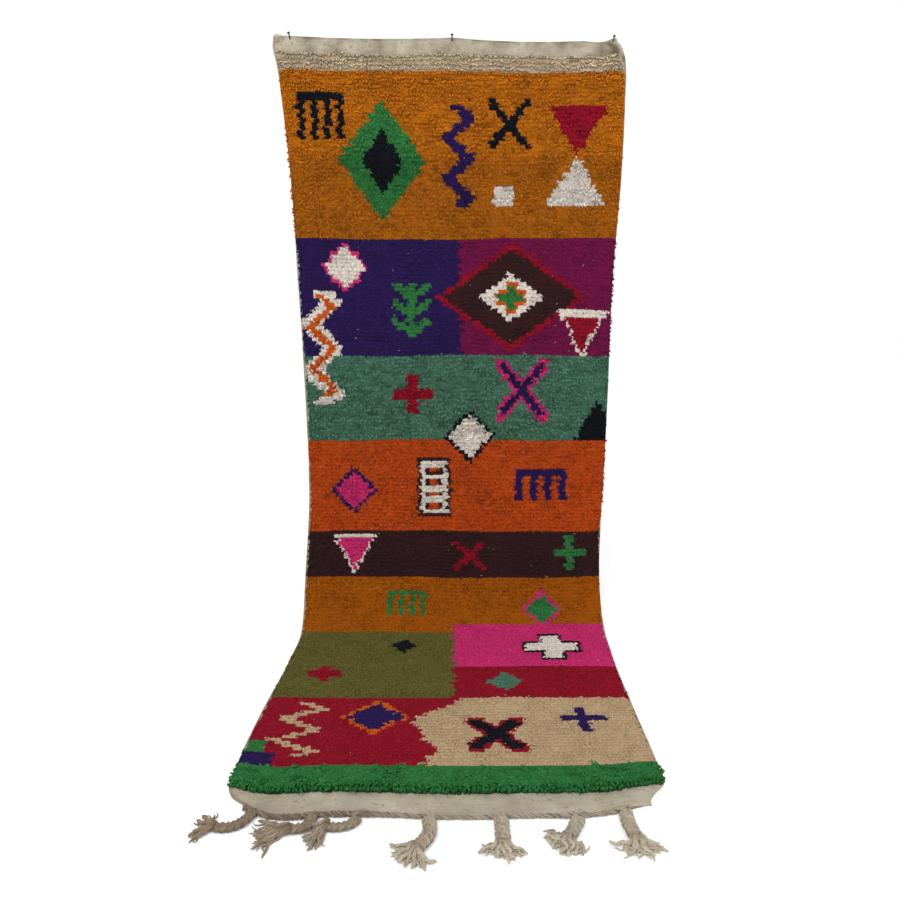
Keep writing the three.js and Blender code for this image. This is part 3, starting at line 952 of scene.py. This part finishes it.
def place_locks(rng, first_row, last_row):
    """Where the locks of a run of rows start, row by row, and how they clump together."""
    row_edges, column_edges = knot_grid()
    rows, wide = last_row - first_row, KNOT_COLUMNS * LOCKS_A_KNOT
    count = rows * wide
    lock_width = (column_edges[-1] - column_edges[0]) / wide
    places = np.tile(np.arange(wide), rows) + 0.5 + 0.22 * rng.normal(size=count)
    along = np.repeat(row_edges[first_row:last_row] + ROW_PITCH / 2, wide)
    across = spread_to_edges(column_edges[0] + lock_width * places, along)
    pile = pile_settings(along)
    scatter = 0.06 * ROW_PITCH + 0.3 * pile.curl
    along = along - 0.3 * ROW_PITCH + scatter * rng.normal(size=count)
    x = across_to_x(across, along)
    clump = matted(rng, wide, np.clip(0.5 - 0.5 * pile.mat, 0.2, 0.5))
    along = along + row_sway(x, along) + (pile.rough * 1.2 * MM + 0.35 * pile.curl) * clump.shift
    return across, along, x, pile, clump


def outward_swing(across, along):
    """How far the outermost locks turn out over the sides, in radians, positive to the right."""
    right = (0.5 + 100 * edge_cover(along, "right")) * np.clip((across - 0.98) / 0.02, 0, 1)
    return right - (0.5 + 100 * edge_cover(along, "left")) * np.clip((0.02 - across) / 0.02, 0, 1)


def shape_locks(rng, row, across, along, x, pile, clump, hollow):
    """Root, middle, tip and thickness of each lock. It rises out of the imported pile, bends over and lies
    on the row below, matted together with its neighbours. The last row hangs lower and more loosely."""
    count, last = len(x), row == KNOT_ROWS - 1
    parting = np.maximum(0, np.sin(x / 0.047 + 2.3 * row) * np.sin(x / 0.021 + 5.1 * row + 1)) ** 1.5
    foot = np.maximum(WEAVE_THICK + bed_height(across, along) - FOOT_DEPTH, LOWEST_FOOT)
    height = pile.height * (1 + 0.1 * lumps(x, along)) * clump.lift * rng.uniform(0.9, 1.08, count)
    rise = np.maximum(WEAVE_THICK + height - foot - pile.radius * 0.6, 2 * MM) * np.where(hollow, 0.55, 1)
    tip_share = np.where(last, 0.5 * pile.tip, pile.tip)
    lean = pile.lean * rng.uniform(0.82, 1.18, count) * clump.lift * (1 - 0.38 * pile.rough * parting)
    swing = np.radians(pile.stray) * (0.7 * clump.stray + 0.55 * rng.normal(size=count))
    swing = swing + outward_swing(across, along) + np.where(last, rng.uniform(-0.8, 0.8, count), 0)
    lean = lean * np.where(last, rng.uniform(0.6, 1.05, count), 1)

    root, down, face = cloth(across, along, foot)
    lie = down * np.cos(swing)[:, None] + RIGHT * np.sin(swing)[:, None]
    bend = rng.normal(size=(count, 1)) * pile.curl[:, None]
    middle = root + face * (0.92 * rise)[:, None] + lie * (0.4 * lean)[:, None] + RIGHT * bend
    tip = root + face * (rise * tip_share)[:, None] + lie * lean[:, None] - RIGHT * bend * 0.5
    gathered = np.bincount(clump.number, tip[:, 0]) / np.bincount(clump.number)
    tip[:, 0] += (gathered[clump.number] - tip[:, 0]) * pile.mat

    wide = KNOT_COLUMNS * LOCKS_A_KNOT
    left_rows, right_rows = np.repeat(MM * rng.normal(size=(2, count // wide)), wide, axis=1)
    beyond = rng.uniform(-3.5, 0.7, count) * MM
    left_limit = side_x(along, "left") - edge_cover(along, "left") - left_rows - beyond
    right_limit = side_x(along, "right") + edge_cover(along, "right") + right_rows + beyond
    tip[:, 0] = np.clip(tip[:, 0], left_limit, right_limit)
    middle[:, 0] = np.clip(middle[:, 0], left_limit + 1 * MM, right_limit - 1 * MM)
    return root, middle, tip, pile.radius * rng.uniform(0.85, 1.15, count)


def build_pile(name, first_row, last_row, seed):
    """The locks of a run of rows, as one mesh with a material for each of its yarns."""
    rng = np.random.default_rng(seed)
    rows, wide = last_row - first_row, KNOT_COLUMNS * LOCKS_A_KNOT
    row = np.repeat(np.arange(first_row, last_row), wide)
    across, along, x, pile, clump = place_locks(rng, first_row, last_row)
    hollow = (clump.hollow < 0.1 * (pile.rough - 0.4)) & (along < PILE_END - 2 * ROW_PITCH)
    points, sides, ends = locks(*shape_locks(rng, row, across, along, x, pile, clump, hollow))

    row_edges, column_edges = knot_grid()
    knot_across = np.tile((column_edges[:-1] + column_edges[1:]) / 2, rows)
    knot_along = np.repeat(row_edges[first_row:last_row] + ROW_PITCH / 2, KNOT_COLUMNS)
    used, slots = np.unique(pattern(knot_across, knot_along), return_inverse=True)
    slots = np.repeat(slots, LOCKS_A_KNOT)

    streak = row_streaks(rng, rows, wide) + 0.04 * np.sin(0.6 * row)
    tone = shade_tone(pile.shade) + (0.02 + 0.13 * pile.rough) * clump.tone
    # Hollow locks are pressed lower and also get painted shade: their tone is lowered here.
    tone = tone + streak * (0.5 + 0.7 * pile.rough) - 0.3 * hollow
    tone = tone + (0.03 + 0.15 * pile.rough) * rng.normal(size=len(row))
    # Painted shade: each lock is darkened towards its root, and hollow locks are darkened all along.
    reach = np.full((len(row), LOCK_POINTS), 0.9)
    reach[:, :3] *= painted_gap_shade(pile.rough)[:, None]
    reach[:, -1] = 1.0
    reach *= np.where(hollow, 0.3, 1)[:, None]
    return make_mesh(
        name,
        points,
        [sides, ends],
        [np.repeat(slots, 3), np.repeat(slots, 4)],
        [PILE_MATERIALS[i] for i in used],
        {"OFBake": lock_cells(rows, wide)},
        {"tone": np.repeat(np.clip(tone, 0, 1), LOCK_POINTS), "reach": reach.ravel()},
    )


def build_all_pile():
    starts = [round((start * MM - PILE_START) / ROW_PITCH) for _, start in PILE_PIECES]
    starts[0] = 0
    runs = zip(PILE_PIECES, starts, starts[1:] + [KNOT_ROWS])
    return [build_pile(name, start, end, SEED + i) for i, ((name, _), start, end) in enumerate(runs)]


def build_selvedge(name, on_right):
    """The edge warps, overcast with weft: a thin ribbed cord down the side of the cloth, thick and worn
    at the left foot. Where locks hide it, it is thinner and lies deeper and further in."""
    sides = 6
    along = np.arange(0.003, SHEET_LENGTH - 0.004, 3.2 * MM)
    number = np.arange(len(along))
    across = np.full_like(along, 1.0 if on_right else 0.0)
    hidden = covered(across, along)
    foot = smooth_step(along, 2.69, 2.71) * (not on_right)
    radii = (2.7 - 1.0 * hidden + 1.8 * foot) * MM * np.where(number % 2 == 0, 1.0, 0.84)
    path, _, _ = cloth(across, along, (3 - 1.2 * hidden) * MM)
    path[:, 0] += (1.2 + 0.9 * hidden) * MM * (-1 if on_right else 1)
    path[:, 2] = np.maximum(path[:, 2], FLOOR_Z + radii)
    tone = 0.5 + 0.1 * np.sin(np.repeat(number, sides) * 2.1)
    worn = 0.35 + 0.45 * np.repeat(foot, sides)
    return make_yarns(name, [tubes(path[None], radii[None], sides, RIGHT, 0.9)], tone, 0.9, worn)


# The plaited ends


def heading_way(heading):
    """The way over the floor of a heading: 0 is straight out from the hem, positive swings left."""
    heading = np.asarray(heading, float)
    return np.stack([-np.sin(heading), -np.cos(heading), np.zeros_like(heading)], -1)


def hem_point(share):
    """The middle of the solid cord at a share of the hem's width."""
    share = np.asarray(share, float)
    edge, _, _ = cloth(share, CLOTH_LENGTH, 0.0)
    edge[..., 1] -= CORD_ROOM + CLEARANCE
    edge[..., 2] = FLOOR_Z + CORD_ROOM
    return edge


def hem_share(x):
    left, right = hem_point(0.0)[0], hem_point(1.0)[0]
    return (x - left) / (right - left)


def hem_heading(share):
    ahead = hem_point(np.minimum(1, share + 0.01)) - hem_point(np.maximum(0, share - 0.01))
    return np.arctan2(-ahead[..., 1], ahead[..., 0])


def bundle(path, across, offset_across, offset_up, radius):
    """Four-sided yarns that keep their own places beside a shared path: the offsets are (yarns, steps)."""
    paths = path + across * offset_across[..., None] + UP * offset_up[..., None]
    return tubes(paths, np.broadcast_to(radius, paths.shape[:2]), 4)


def evenly(turn, count):
    """The angles of things that are evenly spaced round a middle and turn together, one row for each."""
    return turn + TURN * np.arange(count)[:, None] / count


def cord_middle(share):
    """The middle of the twisted cord and its radius. It lies on the floor against the edge of the weave,
    thickest at the left, and thins out at both ends."""
    radius = CORD_ROOM * (0.5 + 0.18 * (1 - smooth_step(share, 0.2, 0.5)))
    radius = radius * (0.3 + 0.7 * smooth_step(np.minimum(share / 0.02, (CORD_END - share) / 0.05), 0, 1))
    middle = hem_point(share)
    middle[..., 1] += CORD_ROOM + CLEARANCE - HEM_LAP - 0.85 * radius
    middle[..., 2] = FLOOR_Z + radius
    return middle, radius


def hem_stitches(rng):
    """Warp ends that leave the weave and slant along the cord, and each point's share of the width."""
    count, steps, sides = HEM_STITCHES, 8, 4
    share = np.linspace(0, 0.92, count) + 0.003 * rng.normal(size=count)
    share = np.sort(np.clip(share, 0.002, 0.925))
    turn = np.radians(np.linspace(140, -35, steps)) + np.radians(12) * rng.normal(size=(count, 1))
    slant = rng.uniform(0.02, 0.045, (count, 1)) * np.linspace(0, 1, steps)
    paths, around = cord_middle(share[:, None] + slant)
    reach = around * rng.uniform(0.9, 1.08, (count, 1))
    paths[..., 1] -= reach * np.cos(turn)
    paths[..., 2] = np.maximum(paths[..., 2] + reach * np.sin(turn), FLOOR_Z + 1.6 * MM)
    paths[:, 0, 1] += 4 * MM
    paths[:, 0, 2] = FLOOR_Z + WEAVE_THICK
    radii = np.array([0.6, 0.9, 1, 1, 1, 1, 0.9, 0.6]) * rng.uniform(0.8, 1.4, (count, 1)) * MM
    return tubes(paths, radii, sides, (1, 0.2, 0)), np.repeat(share, steps * sides)


def build_hem_cord(rng):
    """Four strands of four yarns, twisted along the hem, and the warp ends that are laid over them."""
    steps, strands, yarns = 120, 4, 4
    share = np.linspace(0, CORD_END, steps)
    path, around = cord_middle(share)
    thin = around / CORD_TWIST_RADIUS
    turn = TURN * share * np.linalg.norm(path[-1] - path[0]) / CORD_PITCH
    strand, yarn = evenly(turn, strands)[:, None], evenly(2.0 * turn, yarns)
    offsets = [CORD_STRAND_OFF * wave(strand) + CORD_YARN_OFF * wave(yarn) for wave in (np.cos, np.sin)]
    offset_out, offset_up = (offset.reshape(-1, steps) * thin for offset in offsets)
    cord = bundle(path, heading_way(hem_heading(share)), offset_out, offset_up, YARN_RADIUS * thin)
    stitches, stitch_share = hem_stitches(rng)
    tone = np.repeat(0.42 + 0.2 * rng.normal(size=strands * yarns), steps * 4)
    stitch_points = len(stitch_share) // HEM_STITCHES
    stitch_tone = np.repeat(0.5 + 0.25 * rng.normal(size=HEM_STITCHES), stitch_points)
    shares = np.concatenate([np.tile(np.repeat(share, 4), strands * yarns), stitch_share])
    tone = np.clip(np.concatenate([tone, stitch_tone]), 0, 1)
    # Painted shade: the cord under the stitches is darker than the stitches.
    reach = np.repeat([0.5, 0.88], [len(cord[0]), len(stitch_share)])
    worn = 0.8 - 0.6 * smooth_step(shares, 0.25, 0.55)
    return make_yarns("hem_cord_yarns", [cord, stitches], tone, reach, worn)


def braid_line(braid, steps):
    """Points, headings and lengths of the braid's middle, from its root at the cord to its end."""
    share = hem_share(braid.x * MM)
    slope = float(hem_heading(share))
    lean = abs(math.sin(math.radians(braid.first) - slope))
    out = CORD_ROOM + 2 * CLEARANCE + BRAID_HALF_WIDTH * lean
    root = hem_point(share) + heading_way(slope) * out
    root[2] = FLOOR_Z + BRAID_HALF_HEIGHT

    fine = 240
    share = (np.arange(fine) + 0.5) / fine
    turned = smooth_step(share, 0, braid.turn)
    heading = np.radians(braid.first + (braid.last - braid.first) * turned)
    pace = heading_way(heading) * braid.length * MM / fine
    line = root + np.concatenate([np.zeros((1, 3)), np.cumsum(pace, axis=0)])
    at = np.linspace(0, 1, steps)
    points = np.stack([np.interp(at, np.linspace(0, 1, fine + 1), line[:, i]) for i in range(3)], -1)
    return points, np.interp(at, share, heading), at * braid.length * MM


def braid_yarns(braid, rng):
    """A flat plait of three strands, each a bundle of yarns."""
    steps, strands, yarns = 33, 3, 10
    path, heading, run = braid_line(braid, steps)
    path[:, 2] = FLOOR_Z + BRAID_HALF_HEIGHT * braid.thick
    phase = evenly(TURN * run / PLAIT_PITCH, strands)[:, None]
    spin = evenly(TURN * run / PLAIT_SPIN, yarns)
    ends = 0.86 + 0.14 * smooth_step(np.minimum(run, run[-1] - run), 0, 12 * MM)
    uneven = 1 + 0.16 * np.sin(run / (6.5 * MM) + rng.uniform(0, 6.28, (strands, yarns, 1)))
    offset_across = STRAND_SWING * np.sin(phase) * ends + STRAND_HALF_WIDTH * np.cos(spin) * ends * uneven
    offset_up = STRAND_LIFT * np.sin(2 * phase) + STRAND_HALF_HEIGHT * np.sin(spin) * uneven
    offset_across, offset_up = (
        offset.reshape(-1, steps) * braid.thick for offset in (offset_across, offset_up)
    )
    across = heading_way(heading + np.pi / 2)
    tone = np.repeat(0.5 + 0.24 * rng.normal(size=strands * yarns), steps * 4)
    # Painted shade: the lower a yarn lies in the plait, the darker it is.
    depth = np.repeat((offset_up / (7 * MM)).ravel(), 4)
    reach = 0.45 + 0.45 * smooth_step(depth, -0.3, 0.6)
    return bundle(path, across, offset_across, offset_up, YARN_RADIUS), np.clip(tone, 0, 1), reach


def fan_yarns(braid, rng):
    """Warp ends that leave the weave on both sides of a braid, cross the cord and gather into its neck."""
    count, steps, sides = 13, 10, 5
    place = np.linspace(-1, 1, count)[:, None]
    reach = (20 * place + 2 * rng.normal(size=place.shape))[:, 0] * MM
    hem = hem_point(np.clip(hem_share(braid.x * MM + reach), 0, 1))
    start = hem + np.array([0, 1, 0]) * rng.uniform(4, 11, (count, 1)) * MM
    start[:, 2] = FLOOR_Z + WEAVE_THICK - 1.2 * MM
    root, heading, _ = braid_line(braid, 12)
    neck = root[3] + heading_way(heading[3] + np.pi / 2) * (place * 0.9 * BRAID_HALF_WIDTH * braid.thick)
    neck_rise = BRAID_HALF_HEIGHT + 6.4 * MM * np.sqrt(1 - 0.8 * place[:, 0] ** 2)
    neck[:, 2] = FLOOR_Z + neck_rise * braid.thick
    bend = hem + (neck - hem) * np.array([0.35, 0, 0]) + np.array([0, 6, 0]) * MM
    bend[:, 2] = FLOOR_Z + 1.5 * CORD_ROOM
    t = np.linspace(0, 1, steps)[None, :, None]
    paths = start[:, None] * (1 - t) ** 2 + 2 * bend[:, None] * t * (1 - t) + neck[:, None] * t**2
    radii = np.full((count, steps), 2.1 * MM)
    radii[:, :2] *= [0.55, 0.85]
    radii[:, -1] *= 0.6
    tone = np.repeat(np.clip(0.48 + 0.2 * rng.normal(size=count), 0, 1), steps * sides)
    return tubes(paths, radii, sides), tone, np.full(len(tone), 0.85)


def tuft_yarns(braid, tuft, rng):
    """Loose yarns that leave the end of a braid, drop to the floor and lie there. Some are still plied."""
    steps, sides, count = 12, 5, tuft.count
    path, heading, _ = braid_line(braid, 30)
    end, way = path[-1], heading[-1]
    share = np.linspace(0, 1, steps)[None, :]
    place = np.linspace(-1, 1, count)[:, None] + 0.15 * rng.normal(size=(count, 1))
    aim = np.radians(braid.tuft + braid.spread * tuft.spread * place)
    reach = braid.reach * MM * tuft.length * rng.uniform(0.72, 1.1, (count, 1)) + 8 * MM
    waves = rng.uniform(1.0, 2.2, (count, 1)) * TURN
    sway = tuft.wiggle * braid.curly * MM * np.sin(waves * share + rng.uniform(0, 6.28, (count, 1)))
    sway = sway * smooth_step(share, 0.1, 0.6)
    bend = np.radians(32) * rng.normal(size=(count, 1)) * share
    course = way + (aim - way) * smooth_step(share, 0.0, 0.45) + bend
    pace = heading_way(course) * (reach / (steps - 1))[..., None]
    run = np.concatenate([np.zeros((count, 1, 3)), np.cumsum(pace[:, 1:], axis=1)], axis=1)
    across = heading_way(course + np.pi / 2)
    root_side = heading_way(way + np.pi / 2) * BRAID_HALF_WIDTH * 0.6 * braid.thick
    paths = end - heading_way(way) * 8 * MM + root_side * place[..., None] + run + across * sway[..., None]
    blunt = 1 - 0.25 * share**3 - 0.35 * (share > 0.97) - 0.5 * (share < 0.03)
    radii = tuft.radius * MM * rng.uniform(0.8, 1.2, (count, 1)) * blunt
    coil = radii if tuft.plies > 1 else np.zeros_like(radii)
    root_height = rng.uniform(0.2, 0.8, (count, 1)) * 2 * BRAID_HALF_HEIGHT * braid.thick
    layer = rng.uniform(0, 5, (count, 1)) * MM
    drop = smooth_step(share, 0.05, 0.75)
    paths[..., 2] = FLOOR_Z + radii + coil + root_height * (1 - drop) + layer * drop
    turn = TURN * (2.2 * share[..., None] + np.arange(tuft.plies) / tuft.plies)
    offset = across[:, :, None] * (coil[..., None] * np.cos(turn))[..., None]
    offset = offset + UP * (coil[..., None] * np.sin(turn))[..., None]
    paths = (paths[:, :, None] + offset).transpose(0, 2, 1, 3).reshape(-1, steps, 3)
    yarns = count * tuft.plies
    tone = np.repeat(np.clip(0.52 + 0.28 * rng.normal(size=yarns), 0, 1), steps * sides)
    # Painted shade: each yarn is darker where it leaves the end of the braid.
    painted_root_shade = np.tile(np.repeat(0.4 + 0.6 * smooth_step(share[0], 0.05, 0.4), sides), yarns)
    return tubes(paths, np.repeat(radii, tuft.plies, axis=0), sides), tone, painted_root_shade


def build_braid(number, braid):
    rng = np.random.default_rng(SEED + 100 + number)
    made = [braid_yarns(braid, rng), fan_yarns(braid, rng)]
    made += [tuft_yarns(braid, tuft, rng) for tuft in TUFTS]
    tube_sets, tones, reaches = zip(*made)
    name = f"braid_{number}_yarns"
    return make_yarns(name, tube_sets, np.concatenate(tones), np.concatenate(reaches), braid.worn)


# Small things caught in the cloth


def build_lint(rng):
    """Pale specks of lint and broken yarn ends caught in the pile."""
    count, steps = 150, 4
    across, along = rng.uniform(0.03, 0.97, count), rng.uniform(0.12, 2.6, count)
    place, down, face = cloth(across, along, WEAVE_THICK + pile_settings(along).height * 1.05)
    angle = rng.uniform(0, TURN, count)[:, None]
    way = down * np.cos(angle) + RIGHT * np.sin(angle)
    t = np.linspace(-1, 1, steps)[None, :, None]
    size = rng.uniform(1.2, 3.4, (count, 1, 1)) * MM
    paths = place[:, None] + way[:, None] * size * t + face[:, None] * (1 - t**2) * MM
    radii = np.array([0.35, 0.75, 0.75, 0.3]) * rng.uniform(0.6, 1.3, (count, 1)) * MM
    return make_yarns("lint", [tubes(paths, radii, 4, OFF_AXIS)], 0.8, 1.0, 0.0)


def build_slubs(rng):
    """Curled yarn ends on the bare weave: a knot of them at the top left corner, the rest scattered."""
    steps, sides, cornered = 12, 5, 9
    spots = [(rng.uniform(0.0, 0.025), rng.uniform(-0.002, 0.012)) for _ in range(cornered)]
    spots += [(rng.uniform(0.02, 0.98), rng.uniform(0.004, 0.04)) for _ in range(20)]
    spots += [(rng.uniform(0.04, 0.96), rng.uniform(2.7, 2.735)) for _ in range(9)]
    count = len(spots)
    place, down, face = cloth(*np.array(spots).T, WEAVE_THICK + 0.6 * MM)
    t = np.linspace(0, 1, steps)[None, :, None]
    turn = rng.uniform(0.6, 1.7, (count, 1, 1)) * TURN * t + rng.uniform(0, 6.3, (count, 1, 1))
    size = rng.uniform(1.4, 4.6, (count, 1, 1)) * MM
    size[:cornered] *= 1.3
    drift = RIGHT * rng.uniform(-6, 6, (count, 1, 1)) * MM * t
    drift[:cornered] = np.abs(drift[:cornered]) * 0.5
    ring = down[:, None] * np.cos(turn) + RIGHT * np.sin(turn)
    lift = face[:, None] * 1.6 * MM * np.sin(np.pi * t)
    paths = place[:, None] + ring * size * (1 - 0.4 * t) + drift + lift
    taper = np.full(steps, 0.95)
    taper[[0, -1]] = 0.5
    radii = taper * rng.uniform(0.8, 1.4, (count, 1)) * MM
    tone = np.repeat(np.clip(0.6 + 0.15 * rng.normal(size=count), 0, 1), steps * sides)
    return make_yarns("slubs", [tubes(paths, radii, sides, OFF_AXIS)], tone, 0.95, 0.15)


# Floor, light and camera


def build_floor():
    nodes = Nodes("floor_pale", 0.9)
    nodes.shader.inputs["Base Color"].default_value = linear(FLOOR_COLOUR)
    half, z = FLOOR_SIZE / 2, FLOOR_Z - 0.5 * MM
    corners = np.array([(-half, -half, z), (half, -half, z), (half, half, z), (-half, half, z)])
    make_mesh("floor", corners, [np.array([[0, 1, 2, 3]])], [[0]], [nodes.material])


def add_area(name, place, size, power):
    """A square lamp that faces the middle of the cloth."""
    light = bpy.data.lights.new(name, "AREA")
    light.size = size
    light.energy = power
    lamp = add_object(name, light)
    lamp.location = place
    way = np.array(place) - CLOTH_MIDDLE
    fall = math.atan2(math.hypot(way[0], way[1]), way[2])
    lamp.rotation_euler = (fall, 0, math.atan2(way[0], -way[1]))


def build_light():
    world = bpy.data.worlds.new("studio")
    world.use_nodes = True
    world.node_tree.nodes["Background"].inputs[0].default_value = (1.0, 1.0, 1.0, 1)
    bpy.context.scene.world = world
    add_area("key", (-1.4, -3.2, 1.6), 2.2, 95)
    add_area("fill", (2.4, -2.6, 0.4), 2.0, 30)


def build_camera():
    data = bpy.data.cameras.new("camera")
    data.lens = CAMERA_LENS
    data.sensor_width = CAMERA_SENSOR
    camera = add_object("camera", data)
    camera.location = CAMERA_PLACE
    camera.rotation_euler = (math.pi / 2 - CAMERA_DOWN, 0, 0)
    bpy.context.scene.camera = camera
    bpy.context.scene.view_settings.view_transform = "Standard"


def dress(piece, slot, *nodes):
    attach(piece, "root")
    if nodes:
        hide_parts(*nodes)


def draws(number):
    """Random numbers of a piece's own."""
    return np.random.default_rng(SEED + number)


build_camera()
build_light()
build_floor()

weave = build_weave()
dress(weave, "wool_pile", "rug")
riders = build_all_pile() + [build_selvedge("selvedge_left", False), build_selvedge("selvedge_right", True)]
riders += [build_lint(draws(50)), build_slubs(draws(51))]
for piece in riders:
    dress(piece, "wool_pile")
dress(build_hem_cord(draws(60)), "warp_yarn", "hem_cord")
for number, braid in enumerate(BRAIDS, 1):
    dress(build_braid(number, braid), "warp_yarn", f"braid_{number}")

steel = dark_steel()
for nail in NAILS:
    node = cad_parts[nail.name]
    node.data.materials.clear()
    node.data.materials.append(steel)
